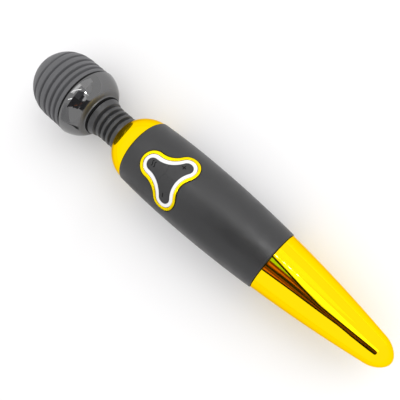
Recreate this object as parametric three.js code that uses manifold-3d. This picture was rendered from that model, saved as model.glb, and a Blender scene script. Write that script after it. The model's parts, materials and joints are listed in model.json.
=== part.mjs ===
// Handheld wand massager lying on a table. Millimetres, +Z up.
// The long axis runs along X: head towards -X, tail towards +X, key pad on top (+Z).
// The origin is on the table, within a millimetre of the middle of the length.

import * as THREE from 'three';
import { mergeVertices } from 'three/addons/utils/BufferGeometryUtils.js';
import Module from 'manifold-3d';

const wasm = await Module();
wasm.setup();

// ---------------------------------------------------------------- driving dimensions

const HEAD_TIP = -163;
const TAIL_TIP = 164;
const GAP = 0.3;                 // clearance left between neighbouring pieces
const SIDES = 28;                // flats round the outer shells
const CORE_SIDES = 16;           // flats round the inner pieces
const NECK_SIDES = 24;           // flats round the neck
const SCREW_SIDES = 12;          // flats round screws, holes and other small round pieces
const BEVEL = 0.4;               // small bevel on moulded edges
const BEYOND = 100;              // reach of cutting tools that pass right through the handle

// Silicone cap over the head: a ribbed drum that ends in a half ball.
const cap = {
  edge: -118, radius: 27.5, wall: 2.4,
  ribs: 5, firstPitch: 4.2, growth: 1.14, grooveDepth: 1.3, grooveHalf: 1.1,
};
cap.centre = HEAD_TIP + cap.radius;

// Glossy bowl under the cap: a short straight land, a bulging side that closes in with this
// power, and a short spigot that the neck plugs into.
const base = {
  radius: 27.9, land: -116, floor: -101.7, power: 1.4, spigotRadius: 15.9, spigotEnd: -98.9, wall: 2,
};
base.front = cap.edge + GAP;
const AXIS_Z = base.radius;      // the bowl lies on the table

// Rubber bellows between base and handle.
const neck = {
  front: -98.9, rear: -75, groovePitch: 4.87, firstGroove: -78.45, grooves: 4, split: -88.19,
  radius: 13.6, flare: 2.5, flareLength: 9, flarePower: 1.4, grooveDepth: 1.4, grooveHalf: 1.3,
  grooveEdge: 0.15, bore: 11,
};

// Handle: gold collar, silicone sleeve and gold tail.
const collar = {
  rear: -54.9, front: -73.7, radius: 24.95, reach: 23.6, power: 1.8, wall: 1.8, mouthDepth: 4.6,
};
const barrel = {
  front: -54.6, frontRadius: 25.4, widest: -15, radius: 26.7, rear: 66.7, rearRadius: 23,
  sleeveWall: 1.7,
};
const tail = {
  front: 67, radius: 22.45, slope: 0.0862, bend: 5.55e-4, tipStart: 152, wall: 1.8, tipWall: 2.4,
};
const housing = { wall: 2, front: -64, frontSpigot: 20, rear: 80, rearSpigot: 18.2 };

// Key pad: a trefoil of one front lobe and two rear lobes, bent round the barrel.
const pad = {
  centre: [-22, 0], frontLobe: [-33.2, 0], frontRadius: 4.55,
  sideLobe: [-13, 13.2], sideRadius: 4.25, sideHollow: 17.9, rearHollow: 21.7,
  light: 2.55, bezel: 4.6, proud: 0.5,
  girthStretch: 1.2,             // the rings are this much broader round the girth
};

const motor = {
  radius: 12.2, rear: -108, front: -139, wall: 1, shaftRadius: 1, hub: 3, armatureRadius: 8.6,
  commutatorRadius: 3.5, magnetInner: 9.3, magnetOuter: 10.9, magnetHalfAngle: 1.1,
};
const weight = { radius: 12.5, hub: 4, rear: -142, front: -151 };
const screw = { shank: 1.2, hole: 1.5, boss: 3, head: 2.2, bigHead: 2.5, counterbore: 2.9 };
const battery = {
  radius: 9.2, front: -8, rear: 57, drop: -6, poleRadius: 2.8, poleLength: 1.5, cradleWall: 1.3,
};
const board = { front: 0, rear: 55, halfWidth: 11.5, bottom: 6, thickness: 1.6 };
const chip = { middle: 17.5, half: 3.5, height: 1.2 };
const port = {
  x: 88, length: 12, width: 6, recess: 0.5, depth: 3.6, contactRadius: 1.25, contactSpacing: 5,
  contactDepth: 3.9,
};
const seals = {
  front: { x: -59.5, radius: 21.15, section: 0.75 },
  rear: { x: 73, radius: 19.15, section: 0.7 },
};

// Flat leads: width and thickness of each section, and the points [x, y, z] each one runs through.
const leads = {
  motorLower: {
    width: 3.4, thickness: 1.7, steps: 14,
    route: [[2, -8, 9.5], [-6, -8, 9.2], [-24, -5, 5], [-50, 0, 0.5], [-70, 0, 0], [-88.7, 0, 0]],
  },
  motorUpper: {
    width: 3.4, thickness: 1.7, steps: 6,
    route: [[-89.3, 0, 0], [-98, 0, 0], [-103, 0, 3], [-107.4, 0, 6]],
  },
  charge: {
    width: 3, thickness: 1.5, steps: 12,
    route: [[84, 0, -15.1], [78, -3, -11], [67, -7, -3], [60.5, -7, 6.5], [56.5, -7, 9.8],
      [50, -7, 9.2]],
  },
  battery: {
    width: 3, thickness: 1.5, steps: 10,
    route: [[59.6, 0, -7], [61.5, 0, -2], [60.5, 0, 5], [56, 0, 9.2], [49, 0, 9.2]],
  },
  keypad: {
    width: 6, thickness: 0.4, steps: 8,
    route: [[-11, 0, 18.9], [-5, 0, 17.4], [-2, 0, 12], [3, 0, 8.7]],
  },
};

// ---------------------------------------------------------------- outer profiles

// Radius of the sleeve: a shallow bow that is widest near the key pad.
function barrelRadius(x) {
  const [end, endRadius] = x < barrel.widest
    ? [barrel.front, barrel.frontRadius] : [barrel.rear, barrel.rearRadius];
  const t = (x - barrel.widest) / (end - barrel.widest);
  return barrel.radius - (barrel.radius - endRadius) * t * t;
}

// Radius of the tail: a taper that bends in, then a rounded tip.
function tailRadius(x) {
  const run = x - tail.front;
  const taper = tail.radius - tail.slope * run - tail.bend * run * run;
  const t = Math.max(0, (x - tail.tipStart) / (TAIL_TIP - tail.tipStart));
  return taper * Math.sqrt(Math.max(0, 1 - t * t));
}

function tailSlope(x) {
  return (tailRadius(x + 0.5) - tailRadius(x - 0.5));
}

// Radius of the collar: an oval dome that closes in towards the neck.
function collarRadius(x) {
  const t = (collar.rear - x) / collar.reach;
  return collar.radius * Math.sqrt(Math.max(0, 1 - t ** collar.power));
}

function baseRadius(x) {
  const t = Math.max(0, (x - base.land) / (base.floor - base.land));
  const rise = base.radius - base.spigotRadius;
  return base.spigotRadius + rise * Math.sqrt(Math.max(0, 1 - t ** base.power));
}

// A point on the cap's outline, s millimetres from its open edge, sunk by depth.
function capPoint(s, depth) {
  const straight = cap.edge - cap.centre;
  const r = cap.radius - depth;
  if (s < straight) return [cap.edge - s, r];
  const angle = (s - straight) / cap.radius;
  return [cap.centre - r * Math.sin(angle), r * Math.cos(angle)];
}

// The crests of the bellows keep one radius and flare out where they meet the base.
function neckCrest(x) {
  const t = THREE.MathUtils.clamp((neck.front + neck.flareLength - x) / neck.flareLength, 0, 1);
  return neck.radius + neck.flare * t ** neck.flarePower;
}

function range(from, to, steps) {
  return Array.from({ length: steps + 1 }, (_, i) => from + (to - from) * i / steps);
}

// ---------------------------------------------------------------- solids

// Merges shared corners, drops empty triangles and turns every face outwards.
function closed(geometry) {
  geometry.deleteAttribute('normal');
  geometry.deleteAttribute('uv');
  const merged = mergeVertices(geometry, 1e-4);
  const { position } = merged.attributes;
  const corners = [new THREE.Vector3(), new THREE.Vector3(), new THREE.Vector3()];
  const index = [];
  let volume = 0;
  for (let i = 0; i < merged.index.count; i += 3) {
    const face = [0, 1, 2].map((k) => merged.index.getX(i + k));
    if (new Set(face).size < 3) continue;
    face.forEach((v, k) => corners[k].fromBufferAttribute(position, v));
    volume += corners[0].dot(corners[1].clone().cross(corners[2]));
    index.push(...face);
  }
  merged.setIndex(volume < 0 ? index.reverse() : index);
  return merged;
}

function toSolid(geometry) {
  const { position } = geometry.attributes;
  return new wasm.Manifold(new wasm.Mesh({
    numProp: 3,
    vertProperties: new Float32Array(position.array),
    triVerts: new Uint32Array(geometry.index.array),
  }));
}

function toGeometry(solid) {
  const mesh = solid.getMesh();
  const geometry = new THREE.BufferGeometry();
  geometry.setAttribute('position', new THREE.BufferAttribute(mesh.vertProperties, 3));
  geometry.setIndex(new THREE.BufferAttribute(mesh.triVerts, 1));
  return geometry;
}

function cut(geometry, ...tools) {
  return toGeometry(tools.reduce((left, tool) => left.subtract(toSolid(tool)), toSolid(geometry)));
}

function join(geometry, ...others) {
  return toGeometry(others.reduce((sum, other) => sum.add(toSolid(other)), toSolid(geometry)));
}

function common(a, b) {
  return toGeometry(toSolid(a).intersect(toSolid(b)));
}

// Turns a profile of [x, radius] points round the X axis. The flats, not the corners, lie on
// the radius, and one flat faces straight down.
function revolve(profile, sides = SIDES) {
  const toCorner = 1 / Math.cos(Math.PI / sides);
  const points = profile.map(([x, r]) => new THREE.Vector2(r * toCorner, x));
  if (profile[0][1] > 0) points.push(points[0].clone());
  const geometry = new THREE.LatheGeometry(points, sides, Math.PI / sides);
  return closed(geometry.rotateZ(-Math.PI / 2));
}

const ring = (x0, x1, inner, outer, sides = CORE_SIDES) =>
  revolve([[x0, inner], [x0, outer], [x1, outer], [x1, inner]], sides);

const rod = (x0, x1, radius, sides = CORE_SIDES) =>
  revolve([[x0, 0], [x0, radius], [x1, radius], [x1, 0]], sides);

// A flat shape drawn in (y, z) and pulled along X from x0 to x1.
function prism(shape, x0, x1, curveSegments = 12) {
  const geometry = new THREE.ExtrudeGeometry(shape, {
    depth: Math.abs(x1 - x0), bevelEnabled: false, curveSegments,
  });
  geometry.rotateX(Math.PI / 2).rotateZ(Math.PI / 2);
  return closed(geometry.translate(Math.min(x0, x1), 0, 0));
}

// A flat shape drawn in (x, y) and pulled up from z0 to z1.
function slab(shape, z0, z1, curveSegments = 8) {
  const geometry = new THREE.ExtrudeGeometry(shape, {
    depth: z1 - z0, bevelEnabled: false, curveSegments,
  });
  return closed(geometry.translate(0, 0, z0));
}

function box(x0, x1, y0, y1, z0, z1) {
  const geometry = new THREE.BoxGeometry(x1 - x0, y1 - y0, z1 - z0);
  return closed(geometry.translate((x0 + x1) / 2, (y0 + y1) / 2, (z0 + z1) / 2));
}

function post(x, y, z0, z1, radius, sides = SCREW_SIDES) {
  const geometry = new THREE.CylinderGeometry(radius, radius, z1 - z0, sides);
  return closed(geometry.rotateX(Math.PI / 2).translate(x, y, (z0 + z1) / 2));
}

function stadium(length, width) {
  const r = width / 2;
  const straight = length / 2 - r;
  return new THREE.Shape()
    .absarc(straight, 0, r, -Math.PI / 2, Math.PI / 2)
    .absarc(-straight, 0, r, Math.PI / 2, 3 * Math.PI / 2);
}

// A lead: its flat section pulled along a smooth path through the points of its route.
function lead({ width, thickness, steps, route }) {
  const corners = [[-1, -1], [1, -1], [1, 1], [-1, 1]];
  const section = new THREE.Shape(corners.map(([across, up]) => (
    new THREE.Vector2(across * width / 2, up * thickness / 2))));
  const extrudePath = new THREE.CatmullRomCurve3(route.map((p) => new THREE.Vector3(...p)));
  return closed(new THREE.ExtrudeGeometry(section, { steps, extrudePath, bevelEnabled: false }));
}

class Helix extends THREE.Curve {
  constructor(x0, x1, radius, turns) {
    super();
    Object.assign(this, { x0, x1, radius, turns });
  }

  getPoint(t, target = new THREE.Vector3()) {
    const angle = 2 * Math.PI * this.turns * t;
    const x = THREE.MathUtils.lerp(this.x0, this.x1, t);
    return target.set(x, this.radius * Math.cos(angle), this.radius * Math.sin(angle));
  }
}

// ---------------------------------------------------------------- pieces bent round the barrel

// x runs along the axis, a round the girth, and height stands off the sleeve's surface.
function bend(x, a, height) {
  const angle = a / barrel.radius;
  const r = barrelRadius(x) + height;
  return new THREE.Vector3(x, r * Math.sin(angle), r * Math.cos(angle));
}

// Joins loops of equal length with a skin; wrapRound also joins the last to the first.
function skin(loops, wrapRound) {
  const count = loops[0].length;
  const position = loops.flat().flatMap((p) => [p.x, p.y, p.z]);
  const index = [];
  for (let k = 0; k < loops.length - (wrapRound ? 0 : 1); k++) {
    const near = k * count;
    const far = ((k + 1) % loops.length) * count;
    for (let i = 0; i < count; i++) {
      const j = (i + 1) % count;
      index.push(near + i, far + i, far + j, near + i, far + j, near + j);
    }
  }
  const geometry = new THREE.BufferGeometry();
  geometry.setAttribute('position', new THREE.Float32BufferAttribute(position, 3));
  geometry.setIndex(index);
  return closed(geometry);
}

const bentLoop = (outline, height) => outline.map(([x, a]) => bend(x, a, height));

function bentRing(outer, inner, low, high) {
  const loops = [bentLoop(outer, high), bentLoop(inner, high), bentLoop(inner, low),
    bentLoop(outer, low)];
  return skin(loops, true);
}

function bentPlate(outline, low, high, { centre = pad.centre, steps = 2 } = {}) {
  const shrink = (t) => outline.map(([x, a]) => [
    centre[0] + (x - centre[0]) * t, centre[1] + (a - centre[1]) * t]);
  const scales = range(0, 1, steps);
  const top = scales.map((t) => bentLoop(shrink(t), high));
  const bottom = scales.map((t) => bentLoop(shrink(t), low)).reverse();
  return skin([...top, ...bottom], false);
}

const frontLobe = { at: pad.frontLobe, radius: pad.frontRadius };
const plusLobe = { at: pad.sideLobe, radius: pad.sideRadius };
const minusLobe = { at: [pad.sideLobe[0], -pad.sideLobe[1]], radius: pad.sideRadius };

// Centre of the hollow that touches two lobes from outside.
function hollowCentre(from, to, radius) {
  const [dx, dy] = [to.at[0] - from.at[0], to.at[1] - from.at[1]];
  const span = Math.hypot(dx, dy);
  const [a, b] = [from.radius + radius, to.radius + radius];
  const along = (a * a - b * b + span * span) / (2 * span);
  const aside = Math.sqrt(a * a - along * along);
  return [from.at[0] + (dx * along + dy * aside) / span, from.at[1] + (dy * along - dx * aside) / span];
}

function arc(centre, radius, from, to, steps) {
  return range(from, to, steps).slice(0, -1).map((angle) => [
    centre[0] + radius * Math.cos(angle), centre[1] + radius * Math.sin(angle)]);
}

// The trefoil: three lobes joined by three hollows, grown outwards by offset.
function evenTrefoil(offset) {
  const lobes = [plusLobe, frontLobe, minusLobe];
  const hollows = [pad.sideHollow, pad.sideHollow, pad.rearHollow];
  const centres = lobes.map((lobe, i) => hollowCentre(lobe, lobes[(i + 1) % 3], hollows[i]));
  const direction = (p, q) => Math.atan2(q[1] - p[1], q[0] - p[0]);
  const turn = 2 * Math.PI;
  return lobes.flatMap((lobe, i) => {
    const next = lobes[(i + 1) % 3];
    const start = direction(lobe.at, centres[(i + 2) % 3]);
    const sweep = (direction(lobe.at, centres[i]) - start + turn) % turn;
    const inward = direction(centres[i], lobe.at);
    const back = (inward - direction(centres[i], next.at) + turn) % turn;
    return [
      ...arc(lobe.at, lobe.radius + offset, start, start + sweep, 7),
      ...arc(centres[i], hollows[i] - offset, inward, inward - back, 4),
    ];
  });
}

// The same outline, but growing further round the girth than along the axis.
function trefoil(offset) {
  const plain = evenTrefoil(0);
  return evenTrefoil(offset).map(([x, a], i) => [
    x, plain[i][1] + pad.girthStretch * (a - plain[i][1])]);
}

// Heights off the sleeve's surface, from the key's face down to the flexible board.
const stack = {
  cutterTop: 1.2, lightTop: 0.2, keyTop: 0.1, windowTop: -1.2, bezelBottom: -1.5, sleeveCut: -2.6,
  keyBottom: -3, lightBottom: -3.6, plungerTop: -3.6, switchTop: -4, plungerBottom: -4.75,
  windowBottom: -5, wellBottom: -5.5, switchBottom: -6, boardTop: -6.3, boardBottom: -7,
};

// Narrow blades from the pad's centre through each hollow part the pad into three keys.
function keyBlades() {
  const reach = 14;
  return [120, 240, 0].map((degrees) => {
    const angle = THREE.MathUtils.degToRad(degrees);
    const along = [Math.cos(angle), Math.sin(angle)];
    const side = [-along[1] * GAP / 2, along[0] * GAP / 2];
    const spot = (t, s) => [
      pad.centre[0] + along[0] * t + side[0] * s, pad.centre[1] + along[1] * t + side[1] * s];
    const edge = (s) => range(-GAP, reach, 6).map((t) => spot(t, s));
    const outline = [...edge(-1), ...edge(1).reverse()];
    return bentPlate(outline, stack.switchTop, stack.cutterTop, { centre: spot(reach / 2, 0) });
  });
}

// Stands a group on the barrel: its own +Z points away from the axis.
function standing(x, a, ...meshes) {
  const group = new THREE.Group();
  group.position.x = x;
  group.rotation.x = -a / barrel.radius;
  group.add(...meshes);
  return group;
}

// ---------------------------------------------------------------- materials

const finishes = {
  gold: [0xf2c500, 0.12, 1],
  silicone: [0x454547, 0.75, 0],
  cap: [0x6b6c6f, 0.6, 0],
  gloss: [0x0a0a0b, 0.08, 0],
  rubber: [0x1d1d1f, 0.5, 0],
  key: [0x3c3c3e, 0.6, 0],
  light: [0xffffff, 0.4, 0],
  shell: [0x2a2a2c, 0.55, 0],
  steel: [0xb4b6b8, 0.3, 1],
  brass: [0xc7a24a, 0.3, 1],
  magnet: [0x3b3b3d, 0.7, 0],
  copper: [0xb5622e, 0.4, 1],
  board: [0x14532d, 0.5, 0],
  flex: [0xa8641c, 0.5, 0],
  chip: [0x111112, 0.5, 0],
  cell: [0x2f6fa8, 0.35, 0],
  lead: [0x8a1c1c, 0.5, 0],
};

function piece(name, finish, geometry) {
  const [color, roughness, metalness] = finishes[finish];
  const mesh = new THREE.Mesh(geometry, new THREE.MeshStandardMaterial({ color, roughness, metalness }));
  mesh.name = name;
  return mesh;
}

// ---------------------------------------------------------------- head

// Half ball about the cap's centre, from its rim towards the tip.
const dome = (radius) => range(0, Math.PI / 2, 5).slice(0, -1).map((angle) => [
  cap.centre - radius * Math.sin(angle), radius * Math.cos(angle)]);

function headCap() {
  const straight = cap.edge - cap.centre;
  const end = straight + cap.radius * Math.PI / 2;
  const outside = [capPoint(0, 2 * BEVEL), capPoint(2 * BEVEL, 0)];
  let groove = 0;
  for (let i = 0; i < cap.ribs; i++) {
    groove += cap.firstPitch * cap.growth ** i;
    outside.push(capPoint(groove - cap.grooveHalf, 0), capPoint(groove, cap.grooveDepth));
    outside.push(capPoint(groove + cap.grooveHalf, 0));
  }
  outside.push(...range(groove + cap.firstPitch, end, 4).slice(0, -1).map((s) => capPoint(s, 0)));
  return piece('head_cap', 'cap', revolve([
    [HEAD_TIP, 0], ...outside.reverse(),
    capPoint(0, cap.wall), ...dome(cap.radius - cap.wall), [HEAD_TIP + cap.wall, 0],
  ]));
}

// Rigid dome under the cap, with three bosses for the cradle's screws.
const core = { radius: cap.radius - cap.wall - GAP, wall: 2, rim: cap.edge };
const cradle = { rear: -122.4, front: -125.4, screwCircle: 20.2, screws: 3 };

function atScrews(build) {
  return range(0, 2 * Math.PI, cradle.screws).slice(0, -1).map((angle) => {
    const turned = angle + Math.PI / 2;
    const [y, z] = [Math.cos(turned), Math.sin(turned)].map((v) => v * cradle.screwCircle);
    return build().translate(0, y, z);
  });
}

function headCore() {
  const inner = core.radius - core.wall;
  const shell = revolve([
    [cap.centre - core.radius, 0], ...dome(core.radius).reverse(), [core.rim, core.radius],
    [core.rim, inner], ...dome(inner), [cap.centre - inner, 0],
  ]);
  const bosses = atScrews(() => rod(cradle.front - GAP, cap.centre, screw.boss, SCREW_SIDES));
  const holes = atScrews(() => rod(cradle.front, cap.centre + 1, screw.hole, SCREW_SIDES));
  return piece('head_core', 'shell', cut(join(shell, ...bosses), ...holes));
}

// Bowl with a spigot for the neck, an inner ring for the motor's damper and a front lip that
// plugs into the dome.
const seat = { inner: 16.8, outer: 18.2, front: motor.rear - 6 };

function headBase() {
  const floor = base.floor - base.wall;
  const neckBore = base.spigotRadius - base.wall;
  const lip = core.radius - core.wall - GAP;
  const lipInner = lip - base.wall;
  const shelf = cap.edge + base.wall;
  const inside = [base.floor - 3, base.land + 4].map((x) => [x, baseRadius(x) - 1.3 * base.wall]);
  return piece('head_base', 'gloss', revolve([
    [base.front, base.radius], ...range(base.land, base.floor, 5).map((x) => [x, baseRadius(x)]),
    [base.spigotEnd - BEVEL, base.spigotRadius], [base.spigotEnd, base.spigotRadius - BEVEL],
    [base.spigotEnd, neckBore], [floor, neckBore],
    [floor, seat.inner], [seat.front, seat.inner], [seat.front, seat.outer],
    [floor - 2 * BEVEL, seat.outer], ...inside, [shelf, lip], [shelf, lipInner],
    [cap.edge - base.wall, lipInner], [cap.edge - base.wall, lip], [base.front, lip],
  ]));
}

function motorPieces() {
  const { radius, rear, front, wall, shaftRadius, hub } = motor;
  const rim = front + wall + GAP;
  const can = revolve([
    [rear, radius], [front, radius], [front, hub + GAP], [rim, hub + GAP], [rim, radius - wall],
    [rear, radius - wall]], CORE_SIDES);
  const bush = shaftRadius + GAP;
  const bell = ring(rear - BEVEL, rear - hub, hub + GAP, radius - wall - GAP);
  const magnet = (middle) => {
    const [low, high] = [middle - motor.magnetHalfAngle, middle + motor.magnetHalfAngle];
    const shape = new THREE.Shape()
      .absarc(0, 0, motor.magnetOuter, low, high)
      .absarc(0, 0, motor.magnetInner, high, low, true);
    return prism(shape, rear - 6, front + 5);
  };
  return [
    piece('motor_can', 'steel', can),
    piece('motor_end_bell', 'shell', bell),
    piece('motor_magnet_upper', 'magnet', magnet(Math.PI / 2)),
    piece('motor_magnet_lower', 'magnet', magnet(-Math.PI / 2)),
    piece('motor_bushing_front', 'brass', ring(front - 1.2, front + 1.6, bush, hub)),
    piece('motor_bushing_rear', 'brass', ring(rear - 0.6, rear - 3.2, bush, hub)),
    piece('motor_damper', 'rubber', ring(rear - 1, rear - 6, radius + GAP, seat.inner - 2 * GAP)),
  ];
}

// Shaft, armature with its commutator, and the half-moon weight that shakes the head.
function rotorPieces() {
  const { rear, front, shaftRadius, armatureRadius, commutatorRadius } = motor;
  const hole = shaftRadius + GAP;
  const armature = revolve([
    [front + 6, hole], [front + 6, armatureRadius], [rear - 7, armatureRadius],
    [rear - 7, commutatorRadius], [rear - 4, commutatorRadius], [rear - 4, hole]], CORE_SIDES);
  const halfMoon = new THREE.Shape()
    .absarc(0, 0, weight.radius, Math.PI, 2 * Math.PI)
    .lineTo(weight.hub, 0)
    .absarc(0, 0, weight.hub, 0, Math.PI)
    .lineTo(-weight.radius, 0);
  halfMoon.holes.push(new THREE.Path().absarc(0, 0, hole, 0, 2 * Math.PI));
  return [
    piece('motor_shaft', 'steel', rod(rear, weight.front, shaftRadius, SCREW_SIDES)),
    piece('motor_armature', 'copper', armature),
    piece('eccentric_weight', 'steel', prism(halfMoon, weight.rear, weight.front)),
  ];
}

function cradlePieces() {
  const { rear, front } = cradle;
  const plate = ring(rear, front, motor.radius + 2 * GAP, core.radius - core.wall - 2 * GAP, SIDES);
  const holes = atScrews(() => rod(rear + 1, front - 1, screw.hole, SCREW_SIDES));
  const tip = rear - 12;
  const face = rear + 1.9;
  const cradleScrew = () => revolve([
    [tip, 0], [tip, screw.shank], [rear + GAP, screw.shank], [rear + GAP, screw.head],
    [face, screw.head], [face, 0]], SCREW_SIDES);
  return [
    piece('motor_cradle', 'shell', cut(plate, ...holes)),
    ...atScrews(cradleScrew).map((geometry, i) => (
      piece(`cradle_screw_${i + 1}`, 'steel', geometry))),
  ];
}

// ---------------------------------------------------------------- neck

// Outline of the bellows from x0 to x1: round ribs with a narrow groove between each pair.
function ribbed(x0, x1) {
  const { groovePitch, grooveHalf, grooveDepth, grooveEdge } = neck;
  const outline = [[x0, neckCrest(x0)]];
  const grooves = Array.from({ length: neck.grooves }, (_, i) => neck.firstGroove - i * groovePitch)
    .filter((x) => x < x0 - 1 && x > x1 + 1);
  for (const x of grooves) {
    outline.push([x + grooveHalf, neckCrest(x) - grooveEdge], [x, neckCrest(x) - grooveDepth]);
    outline.push([x - grooveHalf, neckCrest(x) - grooveEdge]);
  }
  return [...outline, [x1, neckCrest(x1)]];
}

const bellowsFoot = { rear: -67.1, lip: -69.5, lipRadius: 16, plugLength: 3.5 };
const flange = {
  bore: 8.4, handleEnd: -77, handleRadius: 18.3, headEnd: -98, headRadius: 16.4, thickness: 1.5,
};
const midRing = { rear: -87.8, front: -90.2, bore: 8 };
const spring = {
  radius: 9.4, wire: 0.8, stepsPerTurn: 9,
  lower: { from: -78.1, to: -86.7, turns: 3 },
  upper: { from: -91.3, to: -96.8, turns: 2 },
};

function bellowsPieces() {
  const half = GAP / 2;
  const valley = neckCrest(neck.split) - neck.grooveDepth;
  const plug = base.spigotRadius - base.wall - GAP;
  const lower = revolve([
    [bellowsFoot.rear, neck.bore], [bellowsFoot.rear, bellowsFoot.lipRadius],
    [bellowsFoot.lip, bellowsFoot.lipRadius], [bellowsFoot.lip, neck.radius],
    ...ribbed(neck.rear, neck.split + neck.grooveHalf), [neck.split + half, valley],
    [neck.split + half, neck.bore],
  ], NECK_SIDES);
  const upper = revolve([
    [neck.split - half, neck.bore], [neck.split - half, valley],
    ...ribbed(neck.split - neck.grooveHalf, neck.front + GAP), [neck.front + GAP, plug],
    [neck.front - bellowsFoot.plugLength, plug], [neck.front - bellowsFoot.plugLength, neck.bore],
  ], NECK_SIDES);
  return [piece('bellows_lower', 'rubber', lower), piece('bellows_upper', 'rubber', upper)];
}

function flangePieces() {
  const sleeve = neck.bore - BEVEL;
  const handleFlange = revolve([
    [flange.handleEnd, flange.bore], [flange.handleEnd, sleeve], [bellowsFoot.rear + GAP, sleeve],
    [bellowsFoot.rear + GAP, flange.handleRadius], [housing.front - GAP, flange.handleRadius],
    [housing.front - GAP, flange.bore]], NECK_SIDES);
  const floor = base.floor - base.wall - GAP;
  const headFlange = revolve([
    [flange.headEnd, sleeve], [floor, sleeve], [floor, flange.headRadius],
    [floor - flange.thickness, flange.headRadius], [floor - flange.thickness, flange.bore],
    [flange.headEnd, flange.bore]], NECK_SIDES);
  const middle = ring(midRing.rear, midRing.front, midRing.bore, sleeve, NECK_SIDES);
  return [
    piece('neck_flange_handle', 'shell', handleFlange),
    piece('neck_mid_ring', 'shell', middle),
    piece('neck_flange_head', 'shell', headFlange),
  ];
}

function coil({ from, to, turns }) {
  const wire = new THREE.Shape().absarc(0, 0, spring.wire, 0, 2 * Math.PI);
  return closed(new THREE.ExtrudeGeometry(wire, {
    steps: turns * spring.stepsPerTurn, bevelEnabled: false, curveSegments: 2,
    extrudePath: new Helix(from, to, spring.radius, turns),
  }));
}

function neckPieces() {
  return [
    ...bellowsPieces(), ...flangePieces(),
    piece('neck_spring_lower', 'steel', coil(spring.lower)),
    piece('neck_spring_upper', 'steel', coil(spring.upper)),
    piece('motor_cable_lower', 'lead', lead(leads.motorLower)),
    piece('motor_cable_upper', 'lead', lead(leads.motorUpper)),
  ];
}

// ---------------------------------------------------------------- handle shells

function sealRing(name, { x, radius, section }) {
  const profile = range(0, 2 * Math.PI, 6).slice(0, -1)
    .map((angle) => [x + section * Math.sin(angle), radius + section * Math.cos(angle)]);
  return piece(name, 'rubber', revolve(profile));
}

function frontCollar() {
  const { rear, front, wall } = collar;
  const outside = range(rear, front, 7).map((x) => [x, collarRadius(x)]);
  const mouth = neck.radius + 0.5;
  const inside = range(front + collar.mouthDepth, rear, 3).map((x) => [x, collarRadius(x) - wall]);
  return piece('front_collar', 'gold', revolve([
    ...outside, [front + GAP, mouth], [front + collar.mouthDepth / 2, mouth], ...inside]));
}

// Inner body of the handle, split along its length into two halves.
const housingRadius = (x) => barrelRadius(x) - barrel.sleeveWall - GAP;

function housingOutline() {
  const middle = range(barrel.front, barrel.rear - GAP, 6).map((x) => [x, housingRadius(x)]);
  return [
    [housing.front, housing.frontSpigot], [barrel.front, housing.frontSpigot], ...middle,
    [barrel.rear - GAP, housing.rearSpigot], [housing.rear, housing.rearSpigot],
  ];
}

const screwPosts = [-1, 1].map((side) => [-49.5, side * 15]);
const screwHeights = { head: -12.5, seat: -10.3, counterbore: -10, tip: 8, holeEnd: 10 };

function housingHalf(name, side) {
  const outline = housingOutline();
  const { wall } = housing;
  const inner = [
    [housing.rear, housing.rearSpigot - wall], [barrel.rear - 1, housing.rearSpigot - wall],
    ...range(barrel.rear - 3, barrel.front + 2, 4).map((x) => [x, housingRadius(x) - wall]),
    [barrel.front + 2, housing.frontSpigot - wall], [housing.front, housing.frontSpigot - wall],
  ];
  const filled = revolve([[housing.front, 0], ...outline, [housing.rear, 0]]);
  const limits = side > 0 ? [GAP / 2, BEYOND] : [-BEYOND, -GAP / 2];
  const bosses = screwPosts.map(([x, y]) => common(post(x, y, ...limits, screw.boss, 16), filled));
  const half = common(join(revolve([...outline, ...inner]), ...bosses),
    box(-BEYOND, BEYOND, -BEYOND, BEYOND, ...limits));
  const { holeEnd, counterbore } = screwHeights;
  const holes = screwPosts.flatMap(([x, y]) => (side > 0
    ? [post(x, y, -1, holeEnd, screw.hole)]
    : [post(x, y, -BEYOND, 0, screw.hole), post(x, y, -BEYOND, counterbore, screw.counterbore)]));
  const window = bentPlate(
    trefoil(pad.light + GAP), stack.windowBottom, stack.windowTop, { steps: 4 });
  return piece(name, 'shell', cut(half, ...holes, ...(side > 0 ? [window] : [])));
}

function housingScrews() {
  const { head, seat: face, tip } = screwHeights;
  return screwPosts.map(([x, y], i) => {
    const shank = post(x, y, face - GAP / 2, tip, screw.shank);
    return piece(`housing_screw_${i + 1}`, 'steel', join(post(x, y, head, face, screw.bigHead), shank));
  });
}

function gripSleeve() {
  const [from, to] = [barrel.front, barrel.rear];
  const outside = range(from + BEVEL, to - BEVEL, 8).map((x) => [x, barrelRadius(x)]);
  const inside = range(to, from, 6).map((x) => [x, barrelRadius(x) - barrel.sleeveWall]);
  const shell = revolve([
    [from, barrelRadius(from) - BEVEL], ...outside, [to, barrelRadius(to) - BEVEL], ...inside]);
  const window = bentPlate(
    trefoil(pad.bezel + GAP), stack.sleeveCut, stack.cutterTop, { steps: 4 });
  return piece('grip_sleeve', 'silicone', cut(shell, window));
}

// The charging port's own frame: its origin is on the tail's underside, -Z points outwards.
function atPort(geometry) {
  return geometry.rotateY(Math.atan(tailSlope(port.x))).translate(port.x, 0, -tailRadius(port.x));
}

function tailCap() {
  const { front } = tail;
  const innerTip = TAIL_TIP - tail.tipWall;
  const shoulder = innerTip - tail.tipWall;
  const tip = range(0, Math.PI / 2, 5).slice(0, -1)
    .map((angle) => tail.tipStart + (TAIL_TIP - tail.tipStart) * Math.sin(angle));
  const outside = [...range(front, tail.tipStart, 7).slice(0, -1), ...tip];
  const shell = revolve([
    [TAIL_TIP, 0], ...outside.reverse().map((x) => [x, tailRadius(x)]),
    ...range(front, tail.tipStart, 4).map((x) => [x, tailRadius(x) - tail.wall]),
    [shoulder, tailRadius(shoulder) - tail.tipWall], [innerTip, 0],
  ]);
  const opening = stadium(port.length + 2 * GAP, port.width + 2 * GAP);
  return piece('tail_cap', 'gold', cut(shell, atPort(slab(opening, -port.depth, 2 * port.depth))));
}

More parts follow.
